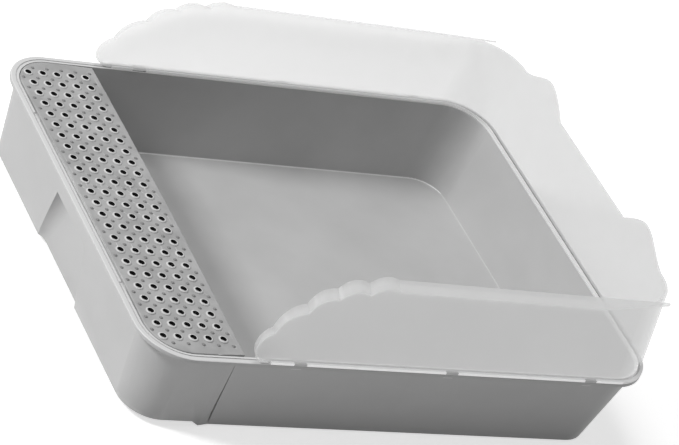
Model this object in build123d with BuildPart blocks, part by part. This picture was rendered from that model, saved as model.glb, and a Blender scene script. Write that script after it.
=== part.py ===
from build123d import *
import os
from math import atan, cos, degrees, hypot, radians, sin, tan

os.makedirs("parts", exist_ok=True)

# Semi-enclosed litter box: an open tray, a splash guard that lifts off and a perforated footboard.
# X runs across, Y from the entrance (-Y) to the back, Z up. The origin is under the middle of the box,
# at the level the feet stand on. All sizes are in millimetres.

# Tray
tray_length = 498.0
tray_width = 386.0
tray_height = 81.0
rim_width = 7.6
rim_thickness = 3.2
rim_corner = 43.5
rim_round = 1.0
rim_groove_width = 1.2
rim_groove_depth = 0.5
rim_groove_inset = 2.0
wall = 2.2
floor_thickness = 2.4
draft_inset = 11.8
base_corner = 30.0
floor_round = 1.2

# Front section of the tray: a little fuller at the sides, with its underside raised
crease_top = 73.1
crease_base = 85.0
crease_taper = 10.0
cheek = 2.2
front_raise = 4.4
step_front = 67.6
step_back = 74.6

# Hand grip in the front wall, open at the bottom
grip_top_width = 74.0
grip_base_width = 108.0
grip_height = 56.5
grip_setback = 3.2
grip_flare = 28.0
grip_blend = 14.0

# Feet
foot_height = 1.6
foot_width = 14.0
foot_length = 28.0
foot_corner = 4.0
foot_side_inset = 4.0
foot_front_inset = 5.0
foot_back_inset = 26.0

# Footboard
board_depth = 80.0
board_thickness = 2.2
board_crown = 2.5
crown_drop = 2.1
board_gap = 0.8
board_relief = 1.2
relief_length = 26.0
board_edge_round = 0.8
hole_rows = 24
hole_columns = 5
column_pitch = 13.8
hole_margin = 12.0
hole_end_margin = 17.85
hole_radius = 2.8
collar_base_radius = 4.5
collar_top_radius = 3.5
collar_height = 0.9
collar_foot = 0.2
nub_radius = 1.4
nub_tip_radius = 0.8
nub_height = 0.8
skirt_thickness = 1.8
skirt_depth = 7.5
front_skirt_depth = 4.6
skirt_end_inset = 12.0
rib_thickness = 1.6
rib_depth = 5.0
rib_spacing_rows = 4
rib_count = 5
tab_width = 8.0
tab_inset = 77.6
tab_reach = 2.4
tab_thickness = 1.6
tab_clearance = 0.4
rest_gap = 0.3

# Ledges that carry the ends of the footboard
ledge_width = 7.5
ledge_nose = 1.6
ledge_depth = 10.0
ledge_length = 28.0
ledge_back_inset = 6.0

# Splash guard
guard_thickness = 2.0
flange_thickness = 2.0
flange_inset = 0.2
flange_width = 6.0
guard_inset = 2.8
guard_lean = 9.6
side_height = 83.0
side_fall = 3.5
ear_height = 18.4
scallop_start = 82.1
scallop_length = 106.2
lip_width = 8.0
lip_thickness = 1.8
lip_proud = 0.3
lip_root = 1.6
lip_droop = 27.0
lip_base_reach = 1.2
lip_back_inset = 26.0
lip_fade = 70.0
ear_width = 75.0
ear_side_inset = 50.2
ear_zone = 40.0

# Clips that hold the guard on the rim
clip_shares = (0.2664, 0.5708, 0.865)
clip_length = 11.4
lug_width = 2.0
lug_clearance = 0.4
tongue_length = 9.2
tongue_thickness = 1.6
tongue_drop = 6.0
tongue_clearance = 0.4
window_width = 1.5
window_length = 14.0
window_depth = 2.2

# One overrun for every cut
over = 5.0

# Places along the scalloped edge: shares of the scallop's length and of the guard's side height
scallop_shares = (
    (0.151, 0.0),
    (0.0, 0.223),
    (0.092, 0.38),
    (0.141, 0.542),
    (0.302, 0.664),
    (0.361, 0.794),
    (0.51, 0.853),
    (0.598, 0.953),
    (0.761, 0.934),
    (0.852, 1.014),
    (1.0, 1.0),
)
# The rounded ear: shares of the ear's width, counted outwards, and of its height
ear_shares = ((0.0, 0.0), (0.2, 0.63), (0.42, 1.0), (0.8, 0.32), (1.0, 0.0))

# Derived heights and outlines
base_z = foot_height
rim_z = foot_height + tray_height
inner_length = tray_length - 2 * rim_width
inner_width = tray_width - 2 * rim_width
inner_corner = rim_corner - rim_width
front_y = -inner_length / 2
top_length = inner_length + 2 * wall
top_width = inner_width + 2 * wall
top_corner = inner_corner + wall
base_length = top_length - 2 * draft_inset
base_width = top_width - 2 * draft_inset
lean_rate = draft_inset / tray_height
floor_z = base_z + floor_thickness
crease_dy = crease_base - crease_top


def inner_at(z, size):
    """Width or length of the tray's inside at height z."""
    return size - 2 * lean_rate * (rim_z - z)


# Tool for the inside of the tray
with BuildPart() as hollow:
    with BuildSketch(Plane.XY.offset(floor_z)):
        floor_corner = base_corner - wall
        RectangleRounded(inner_at(floor_z, inner_width), inner_at(floor_z, inner_length), floor_corner)
    with BuildSketch(Plane.XY.offset(rim_z)):
        RectangleRounded(inner_width, inner_length, inner_corner)
    loft(ruled=True)
    fillet(hollow.edges().group_by(Axis.Z)[0], floor_round)
    with BuildSketch(Plane.XY.offset(rim_z)):
        RectangleRounded(inner_width, inner_length, inner_corner)
    extrude(amount=over)
    # the floor of the front section lies higher
    with BuildSketch(Plane.YZ):
        with BuildLine():
            Polyline(
                (front_y - over, base_z),
                (front_y - over, floor_z + front_raise),
                (front_y + step_front, floor_z + front_raise),
                (front_y + step_back, floor_z),
                (front_y + step_back, base_z),
                close=True,
            )
        make_face()
    extrude(amount=tray_width / 2, both=True, mode=Mode.SUBTRACT)

# Tray
with BuildPart() as tray:
    with BuildSketch(Plane.XY.offset(base_z)):
        RectangleRounded(base_width, base_length, base_corner)
    with BuildSketch(Plane.XY.offset(rim_z)):
        RectangleRounded(top_width, top_length, top_corner)
    loft(ruled=True)
    crease_plane = Plane(
        origin=(0, front_y + crease_base, base_z),
        x_dir=(1, 0, 0),
        z_dir=(0, tray_height, crease_dy),
    )
    split(bisect_by=crease_plane, keep=Keep.TOP)
    # front section, fuller towards its base and drawn in to the crease
    levels = (
        (base_z, base_width / 2, cheek, -base_length / 2, base_corner, front_y + crease_base),
        (rim_z, top_width / 2, 0, -top_length / 2, top_corner, front_y + crease_top),
    )
    for level_z, half, swell, nose_y, corner, crease_y in levels:
        side = half + swell
        with BuildSketch(Plane.XY.offset(level_z)):
            with BuildLine():
                Line((half, crease_y), (-half, crease_y))
                Line((-half, crease_y), (-side, crease_y - crease_taper))
                Line((-side, crease_y - crease_taper), (-side, nose_y + corner))
                RadiusArc((-side, nose_y + corner), (-side + corner, nose_y), -corner)
                Line((-side + corner, nose_y), (side - corner, nose_y))
                RadiusArc((side - corner, nose_y), (side, nose_y + corner), -corner)
                Line((side, nose_y + corner), (side, crease_y - crease_taper))
                Line((side, crease_y - crease_taper), (half, crease_y))
            make_face()
    loft(ruled=True)
    # raised underside in front of the step
    with BuildSketch(Plane.YZ):
        with BuildLine():
            Polyline(
                (front_y - over - rim_width, base_z - over),
                (front_y - over - rim_width, base_z + front_raise),
                (front_y + step_front, base_z + front_raise),
                (front_y + step_back, base_z),
                (front_y + step_back, base_z - over),
                close=True,
            )
        make_face()
    extrude(amount=tray_width, both=True, mode=Mode.SUBTRACT)
    # rim
    with BuildSketch(Plane.XY.offset(rim_z - rim_thickness)):
        RectangleRounded(tray_width, tray_length, rim_corner)
    extrude(amount=rim_thickness)
    rim_edges = tray.edges().group_by(Axis.Z)[-1]
    fillet(rim_edges, rim_round)
    add(hollow.part, mode=Mode.SUBTRACT)

# Hand grip: a pocket with an upright back, walled off from the inside
grip_back_y = -base_length / 2 + grip_setback
grip_depth = grip_back_y + top_length / 2 + over
grip_top_z = base_z + grip_height
grip_spread = (grip_base_width - grip_top_width) / 2 / grip_height


def grip_outline(margin):
    """Trapezoid of the grip's back face, grown by a margin, run down past the tray's underside."""
    low_z = base_z - 2 * over
    top_half = grip_top_width / 2 - grip_depth * tan(radians(grip_flare / 2)) + margin
    low_half = top_half + grip_spread * (grip_top_z - low_z)
    high_z = grip_top_z + margin
    Polyline((-low_half, low_z), (-top_half, high_z), (top_half, high_z), (low_half, low_z), close=True)


def grip_tool(margin, setback):
    """Solid of the grip, widening towards the front."""
    with BuildPart() as tool:
        with BuildSketch(Plane.XZ.offset(-(grip_back_y + setback))):
            with BuildLine():
                grip_outline(margin)
            make_face()
        extrude(amount=grip_depth + setback, taper=-grip_flare / 2)
        # the flanks run into the back face in a wide hollow
        back_edges = tool.faces().sort_by(Axis.Y)[-1].edges().sort_by(Axis.X)
        fillet([back_edges[0], back_edges[-1]], grip_blend + margin)
    return tool.part


grip_pocket = grip_tool(0, 0)
with BuildPart() as tray_body:
    add(hollow.part)
    add(grip_tool(wall, wall), mode=Mode.INTERSECT)
    add(tray.part)
    add(grip_pocket, mode=Mode.SUBTRACT)

# Footboard levels
board_top_z = rim_z + board_crown
board_length = inner_width - 2 * board_gap
row_pitch = (board_length - 2 * hole_end_margin) / (hole_rows - 1)
tab_spacing = board_length - 2 * tab_inset
end_under_z = board_top_z - crown_drop - board_thickness
ledge_z = end_under_z - rest_gap
board_front_y = front_y + board_gap
board_back_y = board_front_y + board_depth
tab_top_z = rim_z - tab_clearance
tab_low_z = tab_top_z - tab_thickness
tab_tip_y = board_front_y - tab_reach
clip_ys = [front_y + share * inner_length for share in clip_shares]
guard_side_x = tray_width / 2 - guard_inset
slot_x = guard_side_x - guard_thickness / 2
sides = (-1, 1)

with BuildPart() as tray_finished:
    add(tray_body.part)
    # ledges under the footboard's ends
    with BuildSketch(Plane.XZ.offset(-(board_back_y - ledge_back_inset))):
        with BuildLine():
            wall_x = inner_width / 2 + wall / 3
            Polyline(
                (wall_x, ledge_z),
                (inner_width / 2 - ledge_width, ledge_z),
                (inner_width / 2 - ledge_width, ledge_z - ledge_nose),
                (wall_x - lean_rate * ledge_depth, ledge_z - ledge_depth),
                close=True,
            )
        make_face()
        mirror(about=Plane.YZ)
    extrude(amount=ledge_length)
    # notches for the footboard's tabs
    notch_top = rim_z + over
    notch_low = tab_low_z - rest_gap
    with BuildSketch(Plane.XY.offset(notch_low)):
        with Locations((-tab_spacing / 2, front_y), (tab_spacing / 2, front_y)):
            notch_y = 2 * (tab_reach - board_gap + tab_clearance)
            Rectangle(tab_width + 2 * tab_clearance, notch_y)
    extrude(amount=notch_top - notch_low, mode=Mode.SUBTRACT)
    # shallow groove round the rim
    with BuildSketch(Plane.XY.offset(rim_z - rim_groove_depth)):
        groove_out = 2 * (rim_groove_inset + rim_groove_width)
        groove_in = 2 * rim_groove_inset
        corner_out = inner_corner + groove_out / 2
        corner_in = inner_corner + groove_in / 2
        RectangleRounded(inner_width + groove_out, inner_length + groove_out, corner_out)
        RectangleRounded(inner_width + groove_in, inner_length + groove_in, corner_in, mode=Mode.SUBTRACT)
    extrude(amount=over, mode=Mode.SUBTRACT)
    # slots for the guard's tongues, and lugs beside them
    clip_spots = [(side * slot_x, y) for side in sides for y in clip_ys]
    lug_x = tray_width / 2 - lug_width / 2 - flange_inset
    lug_spots = [(side * lug_x, y) for side in sides for y in clip_ys]
    with BuildSketch(Plane.XY.offset(rim_z - rim_thickness - over)):
        with Locations(*clip_spots):
            Rectangle(tongue_thickness + 2 * tongue_clearance, tongue_length + 2 * tongue_clearance)
    extrude(amount=rim_thickness + 2 * over, mode=Mode.SUBTRACT)
    with BuildSketch(Plane.XY.offset(rim_z - rim_round)):
        with Locations(*lug_spots):
            Rectangle(lug_width, clip_length)
    extrude(amount=rim_round + flange_thickness)
    # pockets beside the front pair of clips
    window_x = inner_width / 2 + rim_round + window_width / 2
    with BuildSketch(Plane.XY.offset(rim_z - window_depth)):
        with Locations((-window_x, clip_ys[0]), (window_x, clip_ys[0])):
            Rectangle(window_width, window_length)
    extrude(amount=window_depth + over, mode=Mode.SUBTRACT)
tray_finished.part.label = "tray"
export_step(tray_finished.part, "parts/tray.step")

# Feet
foot_x = base_width / 2 - foot_side_inset - foot_width / 2
foot_front = front_y + step_back + foot_front_inset + foot_length / 2
foot_back = base_length / 2 - foot_back_inset - foot_length / 2
feet = {
    "foot_front_left": (-foot_x, foot_front),
    "foot_front_right": (foot_x, foot_front),
    "foot_back_left": (-foot_x, foot_back),
    "foot_back_right": (foot_x, foot_back),
}
for foot_name, foot_place in feet.items():
    with BuildPart() as foot:
        with BuildSketch():
            with Locations(foot_place):
                RectangleRounded(foot_width, foot_length, foot_corner)
        extrude(amount=foot_height)
    foot.part.label = foot_name
    export_step(foot.part, "parts/" + foot_name + ".step")

# Footboard: a crowned plate with raised collars round its holes
crown_radius = ((board_length / 2) ** 2 + crown_drop**2) / (2 * crown_drop)


def crown_z(x):
    """Height of the footboard's top at a place across the box."""
    return board_top_z - (crown_radius - (crown_radius**2 - x**2) ** 0.5)


hole_y = board_front_y - board_gap + hole_margin + (hole_columns - 1) / 2 * column_pitch
half_rows = (hole_rows - 1) / 2
half_columns = (hole_columns - 1) / 2
hole_spots = []
for row in range(hole_rows):
    for column in range(hole_columns):
        hole_x = (row - half_rows) * row_pitch
        hole_spots.append((hole_x, hole_y + (column - half_columns) * column_pitch, crown_z(hole_x)))
nub_spots = []
for row in range(hole_rows + 1):
    for column in range(hole_columns + 1):
        nub_x = (row - half_rows - 0.5) * row_pitch
        at_corner = column == 0 and row in (0, hole_rows)
        if not at_corner:
            nub_spots.append((nub_x, hole_y + (column - half_columns - 0.5) * column_pitch, crown_z(nub_x)))

half_board = board_length / 2
corner_r = inner_corner - board_gap
arc_end_y = board_front_y + corner_r
with BuildPart() as board_outline:
    # seen from above: rounded front corners, back corners drawn in a little
    with BuildSketch(Plane.XY.offset(rim_z - over)):
        with BuildLine():
            Line((half_board - corner_r, board_front_y), (corner_r - half_board, board_front_y))
            RadiusArc((corner_r - half_board, board_front_y), (-half_board, arc_end_y), corner_r)
            Line((-half_board, arc_end_y), (-half_board, board_back_y - relief_length))
            Line((-half_board, board_back_y - relief_length), (board_relief - half_board, board_back_y))
            Line((board_relief - half_board, board_back_y), (half_board - board_relief, board_back_y))
            Line((half_board - board_relief, board_back_y), (half_board, board_back_y - relief_length))
            Line((half_board, board_back_y - relief_length), (half_board, arc_end_y))
            RadiusArc((half_board, arc_end_y), (half_board - corner_r, board_front_y), corner_r)
        make_face()
    extrude(amount=board_crown + 2 * over)

with BuildPart() as footboard:
    # crowned sheet, larger than the outline all round
    with BuildSketch(Plane.XZ.offset(over - board_front_y)):
        with BuildLine():
            wide = half_board + over
            wide_z = crown_z(wide)
            low_z = board_top_z - board_thickness
            ThreePointArc((-wide, wide_z), (0, board_top_z), (wide, wide_z))
            Line((wide, wide_z), (wide, wide_z - board_thickness))
            ThreePointArc((wide, wide_z - board_thickness), (0, low_z), (-wide, wide_z - board_thickness))
            Line((-wide, wide_z - board_thickness), (-wide, wide_z))
        make_face()
    extrude(amount=-(board_depth + 2 * over))
    add(board_outline.part, mode=Mode.INTERSECT)
    fillet(footboard.faces().sort_by(Axis.Z)[-1].edges(), board_edge_round)
    # raised collars and nubs, each with a low upright foot
    upright = (Align.CENTER, Align.CENTER, Align.MIN)
    root = board_thickness / 2
    with Locations(*[(x, y, z - root) for x, y, z in hole_spots]):
        Cylinder(collar_base_radius, root + collar_foot, align=upright)
    with Locations(*[(x, y, z + collar_foot) for x, y, z in hole_spots]):
        Cone(collar_base_radius, collar_top_radius, collar_height - collar_foot, align=upright)
    with Locations(*[(x, y, z - root) for x, y, z in nub_spots]):
        Cylinder(nub_radius, root + collar_foot, align=upright)
    with Locations(*[(x, y, z + collar_foot) for x, y, z in nub_spots]):
        Cone(nub_radius, nub_tip_radius, nub_height - collar_foot, align=upright)
    # skirts under the front and back edges
    skirt_top = rim_z - rest_gap
    back_skirt = board_length - 2 * skirt_end_inset
    front_skirt = board_length - 2 * corner_r
    with BuildSketch(Plane.XY.offset(skirt_top)):
        with Locations((0, board_back_y - skirt_thickness / 2 - board_edge_round)):
            Rectangle(back_skirt, skirt_thickness)
    extrude(amount=-(skirt_depth - board_crown))
    with BuildSketch(Plane.XY.offset(skirt_top)):
        with Locations((0, board_front_y + skirt_thickness / 2)):
            Rectangle(front_skirt, skirt_thickness)
    extrude(amount=-(front_skirt_depth - board_crown))
    # ribs between the skirts, each between two rows of holes
    rib_y = (board_front_y + skirt_thickness / 2 + board_back_y - skirt_thickness) / 2
    rib_length = board_depth - skirt_thickness - board_edge_round
    with BuildSketch(Plane.XY.offset(skirt_top)):
        with Locations((0, rib_y)):
            with GridLocations(rib_spacing_rows * row_pitch, rib_length, rib_count, 1):
                Rectangle(rib_thickness, rib_length)
    extrude(amount=-(rib_depth - board_crown))
    # tabs that hook into the rim
    with BuildSketch(Plane.XY.offset(tab_low_z)):
        tab_y = (tab_tip_y + board_front_y + skirt_thickness) / 2
        with Locations((-tab_spacing / 2, tab_y), (tab_spacing / 2, tab_y)):
            Rectangle(tab_width, board_front_y + skirt_thickness - tab_tip_y)
    extrude(amount=tab_thickness)
    # holes
    hole_reach = board_thickness + collar_height + over
    with Locations(*[(x, y, z + collar_height + over / 2) for x, y, z in hole_spots]):
        Cylinder(hole_radius, hole_reach, align=(Align.CENTER, Align.CENTER, Align.MAX), mode=Mode.SUBTRACT)
footboard.part.label = "footboard"
export_step(footboard.part, "parts/footboard.step")

# Splash guard
guard_z = rim_z + flange_thickness
side_top_z = rim_z + side_height
ear_top_z = side_top_z - side_fall + ear_height
shell_height = ear_top_z + over - rim_z
guard_rate = guard_lean / side_height
guard_side = tray_width - 2 * guard_inset
guard_end = tray_length - 2 * guard_inset
guard_corner = rim_corner - guard_inset
shell_lean = guard_rate * shell_height
scallop_y = front_y + scallop_start
scallop_end_y = scallop_y + scallop_length
far_y = tray_length / 2 + over


def side_profile(rise, lift, low):
    """Outline of the guard's side: scallops at the front, then a nearly straight top edge.

    Heights are stretched by rise and raised by lift, for a sketch on a leaning plane."""
    spots = [(scallop_y + a * scallop_length, lift + b * side_height * rise) for a, b in scallop_shares]
    back_height = lift + (side_height - side_fall) * rise
    Line((spots[0][0], low), spots[0])
    for start in range(0, len(spots) - 1, 2):
        ThreePointArc(spots[start], spots[start + 1], spots[start + 2])
    Line(spots[-1], (far_y, back_height))
    Line((far_y, back_height), (far_y, low))
    Line((far_y, low), (spots[0][0], low))


with BuildPart() as guard_core:
    core_side = guard_side - 2 * guard_thickness
    core_end = guard_end - 2 * guard_thickness
    core_corner = guard_corner - guard_thickness
    with BuildSketch(Plane.XY.offset(rim_z)):
        RectangleRounded(core_side, core_end, core_corner)
    with BuildSketch(Plane.XY.offset(rim_z + shell_height)):
        RectangleRounded(core_side - 2 * shell_lean, core_end - 2 * shell_lean, core_corner)
    loft(ruled=True)

rim_side = Plane(origin=(0, 0, rim_z), x_dir=(0, 1, 0), z_dir=(1, 0, 0))
with BuildPart() as guard_keep:
    # side view of the guard, run across the whole width
    with BuildSketch(rim_side):
        with BuildLine():
            side_profile(1, 0, -over)
        make_face()
    extrude(amount=tray_width / 2 + over, both=True)
    # two rounded ears on the back wall
    with BuildSketch(Plane(origin=(0, far_y, rim_z), x_dir=(1, 0, 0), z_dir=(0, -1, 0))):
        with BuildLine():
            ear_base = side_height - side_fall
            ear_outer = guard_side / 2 - ear_side_inset
            ear_inner = ear_outer - ear_width
            ear_spots = [(ear_inner + a * ear_width, ear_base + b * ear_height) for a, b in ear_shares]
            Line((ear_inner, 0), ear_spots[0])
            Spline(*ear_spots)
            Line(ear_spots[-1], (ear_outer, 0))
            Line((ear_outer, 0), (ear_inner, 0))
        make_face()
        mirror(about=Plane.YZ)
    extrude(amount=ear_zone + over)

# Lip turned out and down along the edge of one side
lean_angle = degrees(atan(guard_rate))
lip_slope = radians(lean_angle + lip_droop)
lip_plane = Plane(
    origin=(
        guard_side / 2 - lip_root * cos(radians(lean_angle)),
        0,
        rim_z - lip_root * sin(radians(lean_angle)),
    ),
    x_dir=(0, 1, 0),
    z_dir=(1, 0, guard_rate),
)
lip_end_y = tray_length / 2 - lip_back_inset
with BuildPart() as guard_lip:
    with BuildSketch(lip_plane) as lip_band:
        with BuildLine():
            side_profile(hypot(1, guard_rate), lip_root * tan(lip_slope), -over)
        make_face()
        # the lip stands a little proud of the wall's edge all along
        offset(amount=lip_proud)
        offset(amount=-lip_thickness, mode=Mode.SUBTRACT)
        with Locations(((scallop_y + lip_end_y) / 2 - over, flange_thickness)):
            Rectangle(
                lip_end_y - scallop_y + 2 * over,
                side_height + 3 * over,
                align=(Align.CENTER, Align.MIN),
                mode=Mode.INTERSECT,
            )
    lip_aim = (cos(radians(lip_droop)), 0, -sin(radians(lip_droop)))
    extrude(amount=(lip_width + lip_root) / cos(radians(lip_droop)), dir=lip_aim)
    # the lip narrows towards the rim and fades out before the back corner
    reach_x = guard_side / 2 + lip_base_reach
    reach_fall = guard_lean - lip_width + lip_base_reach
    split(
        bisect_by=Plane(origin=(reach_x, 0, rim_z), x_dir=(0, 1, 0), z_dir=(side_height, 0, reach_fall)),
        keep=Keep.BOTTOM,
    )
    fade_x = guard_side / 2 - guard_lean
    split(
        bisect_by=Plane(origin=(fade_x, lip_end_y, rim_z), x_dir=(0, 0, 1), z_dir=(lip_fade, lip_width, 0)),
        keep=Keep.BOTTOM,
    )

flange_front_y = scallop_y + scallop_shares[0][0] * scallop_length + flange_width / 2
with BuildPart() as guard:
    with BuildSketch(Plane.XY.offset(rim_z)):
        RectangleRounded(guard_side, guard_end, guard_corner)
    with BuildSketch(Plane.XY.offset(rim_z + shell_height)):
        RectangleRounded(guard_side - 2 * shell_lean, guard_end - 2 * shell_lean, guard_corner)
    loft(ruled=True)
    add(guard_core.part, mode=Mode.SUBTRACT)
    add(guard_keep.part, mode=Mode.INTERSECT)
    # flange that sits on the rim, notched round the lugs
    with BuildSketch(Plane.XY.offset(rim_z)):
        flange_side = tray_width - 2 * flange_inset
        flange_end = tray_length - 2 * flange_inset
        flange_corner = rim_corner - flange_inset
        RectangleRounded(flange_side, flange_end, flange_corner)
        RectangleRounded(
            flange_side - 2 * flange_width,
            flange_end - 2 * flange_width,
            flange_corner - flange_width,
            mode=Mode.SUBTRACT,
        )
        with Locations((0, flange_front_y)):
            Rectangle(tray_width + over, tray_length, align=(Align.CENTER, Align.MAX), mode=Mode.SUBTRACT)
        with Locations(*lug_spots):
            Rectangle(lug_width + 2 * lug_clearance, clip_length + 2 * lug_clearance, mode=Mode.SUBTRACT)
        with Locations((-window_x, clip_ys[0]), (window_x, clip_ys[0])):
            Rectangle(window_width, window_length, mode=Mode.SUBTRACT)
    extrude(amount=flange_thickness)
    # tongues that drop through the rim's slots
    with BuildSketch(Plane.XY.offset(rim_z - tongue_drop)):
        with Locations(*clip_spots):
            Rectangle(tongue_thickness, tongue_length)
    extrude(amount=tongue_drop + flange_thickness)
    add(guard_lip.part)
    add(mirror(guard_lip.part, about=Plane.YZ, mode=Mode.PRIVATE))
guard.part.label = "splash_guard"
export_step(guard.part, "parts/splash_guard.step")
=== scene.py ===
import bpy
from mathutils import Matrix, Vector

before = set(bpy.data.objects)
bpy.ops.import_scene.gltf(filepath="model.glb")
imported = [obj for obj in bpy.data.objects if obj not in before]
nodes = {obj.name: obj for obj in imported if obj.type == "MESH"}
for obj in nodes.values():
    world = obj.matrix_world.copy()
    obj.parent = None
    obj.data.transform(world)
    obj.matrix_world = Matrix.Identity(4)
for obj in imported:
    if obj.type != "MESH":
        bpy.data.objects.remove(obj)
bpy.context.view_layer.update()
scene = bpy.context.scene
mm = 0.001
print("frame loaded:", ", ".join(sorted(nodes)))


def hexColour(code):
    # sRGB hex to the linear values that the shader sockets take
    parts = [int(code[i:i + 2], 16) / 255 for i in (1, 3, 5)]
    linear = [c / 12.92 if c <= 0.04045 else ((c + 0.055) / 1.055) ** 2.4 for c in parts]
    return (*linear, 1.0)


def addNode(tree, kind, place, settings=None, inputs=None, links=None):
    # one node with its settings, its socket values and its incoming links
    node = tree.nodes.new(kind)
    node.location = place
    for name, value in (settings or {}).items():
        setattr(node, name, value)
    for name, value in (inputs or {}).items():
        node.inputs[name].default_value = value
    for name, source in (links or {}).items():
        tree.links.new(source, node.inputs[name])
    return node


def setRamp(node, stops):
    ramp = node.color_ramp
    while len(ramp.elements) > 1:
        ramp.elements.remove(ramp.elements[-1])
    ramp.elements[0].position, ramp.elements[0].color = stops[0]
    for position, colour in stops[1:]:
        ramp.elements.new(position).color = colour


def startMaterial(name):
    material = bpy.data.materials.new(name)
    material.use_nodes = True
    tree = material.node_tree
    tree.nodes.clear()
    output = addNode(tree, "ShaderNodeOutputMaterial", (900, 0))
    return material, tree, output


def dress(node, material):
    # the CAD mesh keeps its shape, only its slots change
    mesh = nodes[node].data
    mesh.materials.clear()
    mesh.materials.append(material)


# Polypropylene, injection moulded in a spark-eroded tool: satin, faintly uneven in tone,
# with a painted highlight that makes its edges a little paler
trayLook = {
    "colour": "#b4b4b4",
    "shade": "#adadad",
    # painted highlight on the convex edges
    "paintedEdgeHighlight": "#bebebe",
    "roughness": (0.36, 0.46),
    "ior": 1.49,
    "grainMm": 0.9,              # the grain is about 0.1 mm, drawn coarser so that it shows
    "grainDepthMm": 0.05,
    "cloudMm": 70.0,             # slow change of tone across a wall
    # painted light on the rim's flat top
    "rimLitColour": "#c8c8c8",
    "rimAboveMm": 82.3,          # just under the rim's top
    # painted highlight along the floor's edge at the long walls
    "creaseHighlightColour": "#d8d8d8",
    "creaseBelowMm": 5.3,        # just over the small radius at the floor's edge
    "creaseTilt": (0.2, 0.96),   # how far up the radius faces, where 1 is straight up
    "creaseSideways": 0.25,      # the least that it faces across the box
}
boardLook = {
    "colour": "#a4a4a4",
    "shade": "#8e8e8e",
    # painted highlight on the convex edges
    "paintedEdgeHighlight": "#cacaca",
    "roughness": (0.42, 0.55),
    "ior": 1.49,
    "grainMm": 1.6,              # the step's coarse stipple
    "grainDepthMm": 0.3,
    "cloudMm": 24.0,
}
noiseSpan = (0.3, 0.7)           # nearly all of a noise texture's values lie in here
cloudStops = (0.32, 0.68)
edgeStops = (0.53, 0.6)          # pointiness, from a flat face to a clear edge


def paintOver(tree, mask, colour, place):
    # lays a colour over what the shader shows so far, where the mask is 1
    shader = tree.nodes["Principled BSDF"]
    before = shader.inputs["Base Color"].links[0].from_socket
    mixed = addNode(tree, "ShaderNodeMix", place, {"data_type": "RGBA"}, None, {"Factor": mask})
    below, above, result = mixed.inputs[6], mixed.inputs[7], mixed.outputs[2]
    tree.links.new(before, below)
    above.default_value = hexColour(colour)
    tree.links.new(result, shader.inputs["Base Color"])


def mouldedPolypropylene(name, look):
    material, tree, output = startMaterial(name)
    place = addNode(tree, "ShaderNodeTexCoord", (-1100, 0))
    cloud = addNode(
        tree, "ShaderNodeTexNoise", (-900, 250), None,
        {"Scale": 1 / (look["cloudMm"] * mm), "Detail": 3.0, "Roughness": 0.55},
        {"Vector": place.outputs["Object"]},
    )
    grain = addNode(
        tree, "ShaderNodeTexNoise", (-900, -250), None,
        {"Scale": 1 / (look["grainMm"] * mm), "Detail": 4.0, "Roughness": 0.6},
        {"Vector": place.outputs["Object"]},
    )
    tone = addNode(tree, "ShaderNodeValToRGB", (-650, 300), None, None, {"Fac": cloud.outputs["Fac"]})
    setRamp(tone, [(cloudStops[0], hexColour(look["shade"])), (cloudStops[1], hexColour(look["colour"]))])
    # painted highlight: edges are found through how sharply the surface turns, and painted paler
    bend = addNode(tree, "ShaderNodeNewGeometry", (-900, 550))
    edge = addNode(tree, "ShaderNodeValToRGB", (-650, 600), None, None, {"Fac": bend.outputs["Pointiness"]})
    setRamp(edge, [(edgeStops[0], (0, 0, 0, 1)), (edgeStops[1], (1, 1, 1, 1))])
    rough = addNode(
        tree, "ShaderNodeMapRange", (-350, 0), None,
        {
            "From Min": noiseSpan[0],
            "From Max": noiseSpan[1],
            "To Min": look["roughness"][0],
            "To Max": look["roughness"][1],
        },
        {"Value": cloud.outputs["Fac"]},
    )
    relief = addNode(
        tree, "ShaderNodeBump", (-350, -250), None,
        {"Strength": 0.35, "Distance": look["grainDepthMm"] * mm},
        {"Height": grain.outputs["Fac"]},
    )
    shader = addNode(
        tree, "ShaderNodeBsdfPrincipled", (600, 0), None, {"IOR": look["ior"]},
        {
            "Base Color": tone.outputs["Color"],
            "Roughness": rough.outputs["Result"],
            "Normal": relief.outputs["Normal"],
        },
    )
    tree.links.new(shader.outputs["BSDF"], output.inputs["Surface"])
    # paints the edge highlight over the base colour
    paintOver(tree, edge.outputs["Color"], look["paintedEdgeHighlight"], (-350, 350))
    return material


def paintRimLight(tree, look):
    # painted light: the rim's flat top is painted paler than the walls, as it faces up into the light
    place = addNode(tree, "ShaderNodeTexCoord", (-900, -600))
    split = addNode(
        tree, "ShaderNodeSeparateXYZ", (-700, -600), None, None, {"Vector": place.outputs["Object"]},
    )
    onTop = addNode(
        tree, "ShaderNodeMath", (-500, -600), {"operation": "GREATER_THAN"},
        {1: look["rimAboveMm"] * mm}, {0: split.outputs["Z"]},
    )
    paintOver(tree, onTop.outputs[0], look["rimLitColour"], (-100, 500))


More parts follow.
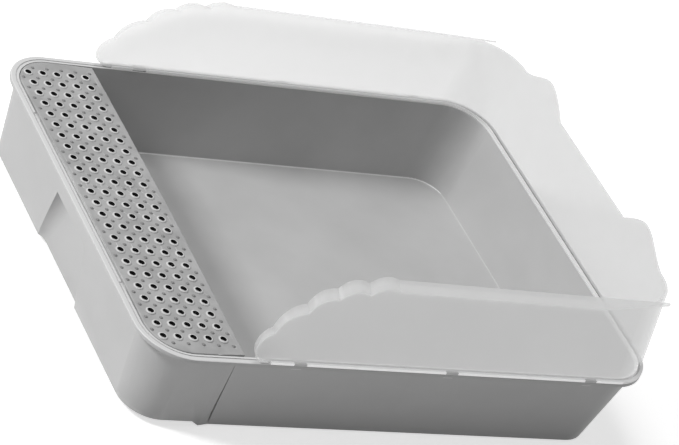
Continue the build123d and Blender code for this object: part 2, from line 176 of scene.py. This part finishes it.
def paintCreaseHighlight(tree, look):
    # a painted highlight on the small radius where the floor meets the long walls
    place = addNode(tree, "ShaderNodeTexCoord", (-900, -1000))
    split = addNode(
        tree, "ShaderNodeSeparateXYZ", (-700, -1000), None, None, {"Vector": place.outputs["Object"]},
    )
    isLow = addNode(
        tree, "ShaderNodeMath", (-500, -1000), {"operation": "LESS_THAN"},
        {1: look["creaseBelowMm"] * mm}, {0: split.outputs["Z"]},
    )
    facing = addNode(tree, "ShaderNodeNewGeometry", (-900, -1200))
    tilt = addNode(
        tree, "ShaderNodeSeparateXYZ", (-700, -1200), None, None, {"Vector": facing.outputs["True Normal"]},
    )
    # the radius faces partly up: the floor faces fully up, and the outside of the walls a little down
    least, most = look["creaseTilt"]
    isTilted = addNode(
        tree, "ShaderNodeMath", (-500, -1200), {"operation": "COMPARE"},
        {1: (least + most) / 2, 2: (most - least) / 2}, {0: tilt.outputs["Z"]},
    )
    sideways = addNode(
        tree, "ShaderNodeMath", (-500, -1400), {"operation": "ABSOLUTE"}, None, {0: tilt.outputs["X"]},
    )
    atSide = addNode(
        tree, "ShaderNodeMath", (-300, -1400), {"operation": "GREATER_THAN"},
        {1: look["creaseSideways"]}, {0: sideways.outputs[0]},
    )
    onRadius = addNode(
        tree, "ShaderNodeMath", (-300, -1100), {"operation": "MULTIPLY"}, None,
        {0: isLow.outputs[0], 1: isTilted.outputs[0]},
    )
    onCrease = addNode(
        tree, "ShaderNodeMath", (-100, -1200), {"operation": "MULTIPLY"}, None,
        {0: onRadius.outputs[0], 1: atSide.outputs[0]},
    )
    paintOver(tree, onCrease.outputs[0], look["creaseHighlightColour"], (150, 500))


# Painted shade: the bores of the step's holes are painted black, as they lie in shade from above,
# and the nubs between them are painted darker where their shaded sides and shadows fall
latticeLook = {
    "rows": 24,
    "columns": 5,
    "columnPitchMm": 13.8,
    "endMarginMm": 17.85,     # from the board's ends to its first and last row
    "frontMarginMm": 13.6,    # from the tips of its tabs to its first column
    "boreRadiusMm": 2.86,
    "boreShadeColour": "#060606",
    "nubRadiusMm": 1.8,
    "nubShadeColour": "#727272",
}


def latticeMask(tree, place, axes, radius, top):
    # 1 within a radius of the lattice's points, 0 elsewhere and beyond its last rows
    split = addNode(tree, "ShaderNodeSeparateXYZ", (-1500, top), None, None, {"Vector": place})
    squares = []
    reaches = []
    for axis, middle, pitch, count in axes:
        fromMiddle = addNode(
            tree, "ShaderNodeMath", (-1300, top), {"operation": "SUBTRACT"}, {1: middle},
            {0: split.outputs[axis]},
        )
        fromFirst = addNode(
            tree, "ShaderNodeMath", (-1100, top), {"operation": "ADD"}, {1: (count - 1) / 2 * pitch},
            {0: fromMiddle.outputs[0]},
        )
        # ping-pong over half a pitch gives the distance to the nearest point
        near = addNode(
            tree, "ShaderNodeMath", (-900, top), {"operation": "PINGPONG"}, {1: pitch / 2},
            {0: fromFirst.outputs[0]},
        )
        square = addNode(
            tree, "ShaderNodeMath", (-700, top), {"operation": "POWER"}, {1: 2.0}, {0: near.outputs[0]},
        )
        far = addNode(
            tree, "ShaderNodeMath", (-900, top - 150), {"operation": "ABSOLUTE"}, None,
            {0: fromMiddle.outputs[0]},
        )
        inReach = addNode(
            tree, "ShaderNodeMath", (-700, top - 150), {"operation": "LESS_THAN"}, {1: count / 2 * pitch},
            {0: far.outputs[0]},
        )
        squares.append(square.outputs[0])
        reaches.append(inReach.outputs[0])
        top -= 350
    total = addNode(
        tree, "ShaderNodeMath", (-500, top + 500), {"operation": "ADD"}, None,
        {0: squares[0], 1: squares[1]},
    )
    inside = addNode(
        tree, "ShaderNodeMath", (-300, top + 500), {"operation": "LESS_THAN"}, {1: radius**2},
        {0: total.outputs[0]},
    )
    within = addNode(
        tree, "ShaderNodeMath", (-500, top + 350), {"operation": "MULTIPLY"}, None,
        {0: reaches[0], 1: reaches[1]},
    )
    return addNode(
        tree, "ShaderNodeMath", (-100, top + 400), {"operation": "MULTIPLY"}, None,
        {0: inside.outputs[0], 1: within.outputs[0]},
    )


def markLattice(tree, look, board):
    # the lattice is laid out from the board's own ends and front, in the board's own axes
    acrossBox = [vertex.co.x for vertex in board.data.vertices]
    left, right = min(acrossBox), max(acrossBox)
    front = min(vertex.co.y for vertex in board.data.vertices)
    rows, columns = look["rows"], look["columns"]
    rowPitch = (right - left - 2 * look["endMarginMm"] * mm) / (rows - 1)
    columnPitch = look["columnPitchMm"] * mm
    middleX = (left + right) / 2
    middleY = front + look["frontMarginMm"] * mm + (columns - 1) / 2 * columnPitch
    place = addNode(tree, "ShaderNodeTexCoord", (-1700, -900)).outputs["Object"]
    # the nubs stand between the holes, so they have one row and one column more
    marks = (
        (1, look["nubRadiusMm"], look["nubShadeColour"], -900),
        (0, look["boreRadiusMm"], look["boreShadeColour"], -1700),
    )
    for extra, radiusMm, colour, top in marks:
        axes = (
            ("X", middleX, rowPitch, rows + extra),
            ("Y", middleY, columnPitch, columns + extra),
        )
        mask = latticeMask(tree, place, axes, radiusMm * mm, top)
        # painted shade over the nubs and the bores
        paintOver(tree, mask.outputs[0], colour, (100, top + 400))


trayMaterial = mouldedPolypropylene("satinMouldedPolypropylene", trayLook)
paintRimLight(trayMaterial.node_tree, trayLook)
paintCreaseHighlight(trayMaterial.node_tree, trayLook)
dress("tray", trayMaterial)
boardMaterial = mouldedPolypropylene("stippledMouldedPolypropylene", boardLook)
markLattice(boardMaterial.node_tree, latticeLook, nodes["footboard"])
dress("footboard", boardMaterial)
print("tray and footboard dressed")

# Polypropylene without pigment, moulded and blasted on the inside: milky, with soft shapes
# showing through, and a painted glow that is stronger at the flange's outer edges, where the plastic is
# seen edge on
guardLook = {
    "colour": "#e4e4e4",
    "shade": "#e2e2e2",
    "roughness": (0.14, 0.2),
    "ior": 1.49,
    "clear": 0.58,              # share of the light that goes straight through each face
    "milk": 0.8,                # share of the rest that comes out of the far side, scattered
    "glow": 0.18,               # painted glow, standing in for light that spreads inside the milky wall
    "flangeTopMm": 84.8,        # the flange under this height is far more plastic to look through
    "flangeFadeMm": 0.5,
    "flangeClear": 0.02,
    "flangeMilk": 0.1,
    "flangeGlow": 0.13,
    "edgeBeyondMm": 192.5,      # painted glow at the flange's outer edge along the sides, beyond this
    "edgeGlow": 0.22,
    "backGlowMm": (225, 242),   # the flange across the back lies flat on the rim and gets no painted glow
    "frostMm": 1.2,             # blasted frost is finer than a pixel, drawn coarser
    "frostDepthMm": 0.03,
    "cloudMm": 55.0,
    "cloudStops": (0.3, 0.7),
}


def flangeGlow(tree, split, plainGlow, look):
    # the flange's painted glow is stronger at its outer edges, and weaker across the back
    across = addNode(
        tree, "ShaderNodeMath", (-600, -1100), {"operation": "ABSOLUTE"}, None, {0: split.outputs["X"]},
    )
    atEdge = addNode(
        tree, "ShaderNodeMath", (-350, -1100), {"operation": "GREATER_THAN"},
        {1: look["edgeBeyondMm"] * mm}, {0: across.outputs[0]},
    )
    gathered = addNode(
        tree, "ShaderNodeMath", (-150, -1100), {"operation": "MULTIPLY"}, {1: look["edgeGlow"]},
        {0: atEdge.outputs[0]},
    )
    backLoss = addNode(
        tree, "ShaderNodeMapRange", (-350, -1500), None,
        {
            "From Min": look["backGlowMm"][0] * mm,
            "From Max": look["backGlowMm"][1] * mm,
            "To Min": 0.0,
            "To Max": -look["flangeGlow"],
        },
        {"Value": split.outputs["Y"]},
    )
    change = addNode(
        tree, "ShaderNodeMath", (0, -1300), {"operation": "ADD"}, None,
        {0: gathered.outputs[0], 1: backLoss.outputs["Result"]},
    )
    onFlange = addNode(
        tree, "ShaderNodeMath", (-350, -1300), {"operation": "LESS_THAN"},
        {1: look["flangeTopMm"] * mm}, {0: split.outputs["Z"]},
    )
    flangeChange = addNode(
        tree, "ShaderNodeMath", (150, -1200), {"operation": "MULTIPLY"}, None,
        {0: change.outputs[0], 1: onFlange.outputs[0]},
    )
    return addNode(
        tree, "ShaderNodeMath", (300, -1000), {"operation": "ADD"}, None,
        {0: plainGlow, 1: flangeChange.outputs[0]},
    )


def frostedPolypropylene(name, look):
    material, tree, output = startMaterial(name)
    place = addNode(tree, "ShaderNodeTexCoord", (-1100, 0))
    cloud = addNode(
        tree, "ShaderNodeTexNoise", (-900, 250), None,
        {"Scale": 1 / (look["cloudMm"] * mm), "Detail": 2.0, "Roughness": 0.5},
        {"Vector": place.outputs["Object"]},
    )
    frost = addNode(
        tree, "ShaderNodeTexNoise", (-900, -250), None,
        {"Scale": 1 / (look["frostMm"] * mm), "Detail": 3.0, "Roughness": 0.6},
        {"Vector": place.outputs["Object"]},
    )
    low, high = look["cloudStops"]
    tone = addNode(tree, "ShaderNodeValToRGB", (-600, 300), None, None, {"Fac": cloud.outputs["Fac"]})
    setRamp(tone, [(low, hexColour(look["shade"])), (high, hexColour(look["colour"]))])
    rough = addNode(
        tree, "ShaderNodeMapRange", (-350, 0), None,
        {
            "From Min": noiseSpan[0],
            "From Max": noiseSpan[1],
            "To Min": look["roughness"][0],
            "To Max": look["roughness"][1],
        },
        {"Value": cloud.outputs["Fac"]},
    )
    relief = addNode(
        tree, "ShaderNodeBump", (-350, -250), None,
        {"Strength": 0.25, "Distance": look["frostDepthMm"] * mm},
        {"Height": frost.outputs["Fac"]},
    )
    surface = addNode(
        tree, "ShaderNodeBsdfPrincipled", (0, 0), None, {"IOR": look["ior"]},
        {
            "Base Color": tone.outputs["Color"],
            "Roughness": rough.outputs["Result"],
            "Normal": relief.outputs["Normal"],
        },
    )
    scatter = addNode(
        tree, "ShaderNodeBsdfTranslucent", (0, -350), None, None, {"Color": tone.outputs["Color"]},
    )
    # the wall and the flange differ in how much light they scatter and let through, and in their painted
    # glow
    split = addNode(
        tree, "ShaderNodeSeparateXYZ", (-600, -500), None, None, {"Vector": place.outputs["Object"]},
    )
    shares = {}
    pairs = (
        ("milk", look["flangeMilk"], look["milk"], -500),
        ("clear", look["flangeClear"], look["clear"], -750),
        ("glow", look["flangeGlow"], look["glow"], -1000),
    )
    for share, onFlange, onWall, y in pairs:
        shares[share] = addNode(
            tree, "ShaderNodeMapRange", (-350, y), None,
            {
                "From Min": look["flangeTopMm"] * mm,
                "From Max": (look["flangeTopMm"] + look["flangeFadeMm"]) * mm,
                "To Min": onFlange,
                "To Max": onWall,
            },
            {"Value": split.outputs["Z"]},
        ).outputs["Result"]
    strength = flangeGlow(tree, split, shares["glow"], look)
    # painted glow: the guard gives off light of its own, though it is no lamp
    glow = addNode(
        tree, "ShaderNodeEmission", (350, -500), None, {"Color": (1, 1, 1, 1)},
        {"Strength": strength.outputs[0]},
    )
    milky = addNode(
        tree, "ShaderNodeMixShader", (350, -100), None, None,
        {0: shares["milk"], 1: surface.outputs["BSDF"], 2: scatter.outputs["BSDF"]},
    )
    glowing = addNode(
        tree, "ShaderNodeAddShader", (500, -100), None, None,
        {0: milky.outputs["Shader"], 1: glow.outputs["Emission"]},
    )
    through = addNode(tree, "ShaderNodeBsdfTransparent", (350, -300))
    whole = addNode(
        tree, "ShaderNodeMixShader", (650, -100), None, None,
        {0: shares["clear"], 1: glowing.outputs["Shader"], 2: through.outputs["BSDF"]},
    )
    tree.links.new(whole.outputs["Shader"], output.inputs["Surface"])
    return material


dress("splash_guard", frostedPolypropylene("frostedMouldedPolypropylene", guardLook))
print("guard dressed")

# Soft rubber, moulded: black and dull, with dust in its pores
footLook = {
    "colour": "#1d1d1d",
    "dust": "#383838",
    "dustStops": (0.45, 0.75),
    "roughness": 0.85,
    "ior": 1.52,
    "poreMm": 0.8,
    "poreDepthMm": 0.1,
}


def mouldedRubber(name, look):
    material, tree, output = startMaterial(name)
    place = addNode(tree, "ShaderNodeTexCoord", (-900, 0))
    pores = addNode(
        tree, "ShaderNodeTexNoise", (-700, 0), None,
        {"Scale": 1 / (look["poreMm"] * mm), "Detail": 3.0},
        {"Vector": place.outputs["Object"]},
    )
    clean, dusty = look["dustStops"]
    tone = addNode(tree, "ShaderNodeValToRGB", (-450, 150), None, None, {"Fac": pores.outputs["Fac"]})
    setRamp(tone, [(clean, hexColour(look["colour"])), (dusty, hexColour(look["dust"]))])
    relief = addNode(
        tree, "ShaderNodeBump", (-450, -200), None,
        {"Strength": 0.4, "Distance": look["poreDepthMm"] * mm},
        {"Height": pores.outputs["Fac"]},
    )
    shader = addNode(
        tree, "ShaderNodeBsdfPrincipled", (100, 0), None,
        {"IOR": look["ior"], "Roughness": look["roughness"]},
        {"Base Color": tone.outputs["Color"], "Normal": relief.outputs["Normal"]},
    )
    tree.links.new(shader.outputs["BSDF"], output.inputs["Surface"])
    return material


rubber = mouldedRubber("mouldedRubber", footLook)
for footName in ("foot_front_left", "foot_front_right", "foot_back_left", "foot_back_right"):
    dress(footName, rubber)
print("feet dressed")

# Studio: a white floor that keeps the shadow, and soft light from the front left and above
studio = {
    "floorSize": 14.0,          # metres, as are the places below
    "floorColour": "#d8d8d8",
    "floorRoughness": 0.9,
    "floorSpecular": 0.2,
    "floorGlow": 0.62,          # lifts the floor to white where it is looked at
    "worldStrength": 0.2,
    "aim": (0, 0, 0.08),
    "softboxes": {
        "frontLeftSoftbox": {"place": (-0.4, -2.4, 1.8), "size": (0.5, 0.5), "watts": 61},
        "topSoftbox": {"place": (-0.3, -0.6, 2.6), "size": (0.8, 0.8), "watts": 28},
    },
}


def whiteSeen(tree, place):
    # 1 for what the camera sees, also mirrored or through glass, and 0 for light that falls
    # on the object or soaks through it
    x, y = place
    seen = addNode(tree, "ShaderNodeLightPath", place)
    glass = addNode(
        tree, "ShaderNodeMath", (x + 200, y - 200), {"operation": "SUBTRACT"}, None,
        {0: seen.outputs["Is Transmission Ray"], 1: seen.outputs["Is Diffuse Ray"]},
    )
    direct = addNode(
        tree, "ShaderNodeMath", (x + 200, y), {"operation": "MAXIMUM"}, None,
        {0: seen.outputs["Is Camera Ray"], 1: seen.outputs["Is Glossy Ray"]},
    )
    return addNode(
        tree, "ShaderNodeMath", (x + 400, y), {"operation": "MAXIMUM"}, None,
        {0: direct.outputs[0], 1: glass.outputs[0]},
    )


def buildFloor():
    half = studio["floorSize"] / 2
    corners = [(-half, -half, 0), (half, -half, 0), (half, half, 0), (-half, half, 0)]
    mesh = bpy.data.meshes.new("floor")
    mesh.from_pydata(corners, [], [(0, 1, 2, 3)])
    floor = bpy.data.objects.new("floor", mesh)
    scene.collection.objects.link(floor)
    # matt white paper, a pale ground for the soft shadow
    material, tree, output = startMaterial("whitePaperFloor")
    seen = whiteSeen(tree, (-600, -200))
    glow = addNode(
        tree, "ShaderNodeMath", (0, -200), {"operation": "MULTIPLY"}, {1: studio["floorGlow"]},
        {0: seen.outputs[0]},
    )
    shader = addNode(
        tree, "ShaderNodeBsdfPrincipled", (300, 0), None,
        {
            "Base Color": hexColour(studio["floorColour"]),
            "Roughness": studio["floorRoughness"],
            "Specular IOR Level": studio["floorSpecular"],
            "Emission Color": (1, 1, 1, 1),
        },
        {"Emission Strength": glow.outputs[0]},
    )
    tree.links.new(shader.outputs["BSDF"], output.inputs["Surface"])
    mesh.materials.append(material)


def buildWorld():
    world = bpy.data.worlds.new("studio")
    scene.world = world
    world.use_nodes = True
    tree = world.node_tree
    tree.nodes.clear()
    output = addNode(tree, "ShaderNodeOutputWorld", (600, 0))
    seen = whiteSeen(tree, (-600, 0))
    strength = addNode(
        tree, "ShaderNodeMapRange", (0, 0), None,
        {"To Min": studio["worldStrength"], "To Max": 1.0}, {"Value": seen.outputs[0]},
    )
    background = addNode(
        tree, "ShaderNodeBackground", (300, 0), None, {"Color": (1, 1, 1, 1)},
        {"Strength": strength.outputs["Result"]},
    )
    tree.links.new(background.outputs["Background"], output.inputs["Surface"])


def addSoftbox(name, place, size, watts):
    data = bpy.data.lights.new(name, "AREA")
    data.shape = "RECTANGLE"
    data.size, data.size_y = size
    data.energy = watts
    lamp = bpy.data.objects.new(name, data)
    scene.collection.objects.link(lamp)
    lamp.location = place
    towards = Vector(studio["aim"]) - Vector(place)
    lamp.rotation_euler = towards.to_track_quat("-Z", "Y").to_euler()


buildFloor()
buildWorld()
for softboxName, softbox in studio["softboxes"].items():
    addSoftbox(softboxName, **softbox)
print("studio built")

# Camera: a long lens from the front right, tilted a little about its own axis
camera = {
    "lensMm": 182.8,
    "sensorMm": 36.0,
    "place": (1.9488, -1.58135, 1.5942),
    "right": (0.3756, 0.83719, 0.39755),    # where the picture's right and its foot point
    "down": (0.64709, 0.07019, -0.75918),
}


def buildCamera():
    data = bpy.data.cameras.new("camera")
    data.sensor_width = camera["sensorMm"]
    data.sensor_fit = "HORIZONTAL"
    data.lens = camera["lensMm"]
    eye = bpy.data.objects.new("camera", data)
    scene.collection.objects.link(eye)
    right = Vector(camera["right"]).normalized()
    down = Vector(camera["down"])
    down = (down - down.dot(right) * right).normalized()
    back = -right.cross(down)
    turn = Matrix((right, -down, back)).transposed().to_4x4()
    eye.matrix_world = Matrix.Translation(Vector(camera["place"])) @ turn
    scene.camera = eye


buildCamera()
scene.view_settings.view_transform = "Standard"
print("camera set")
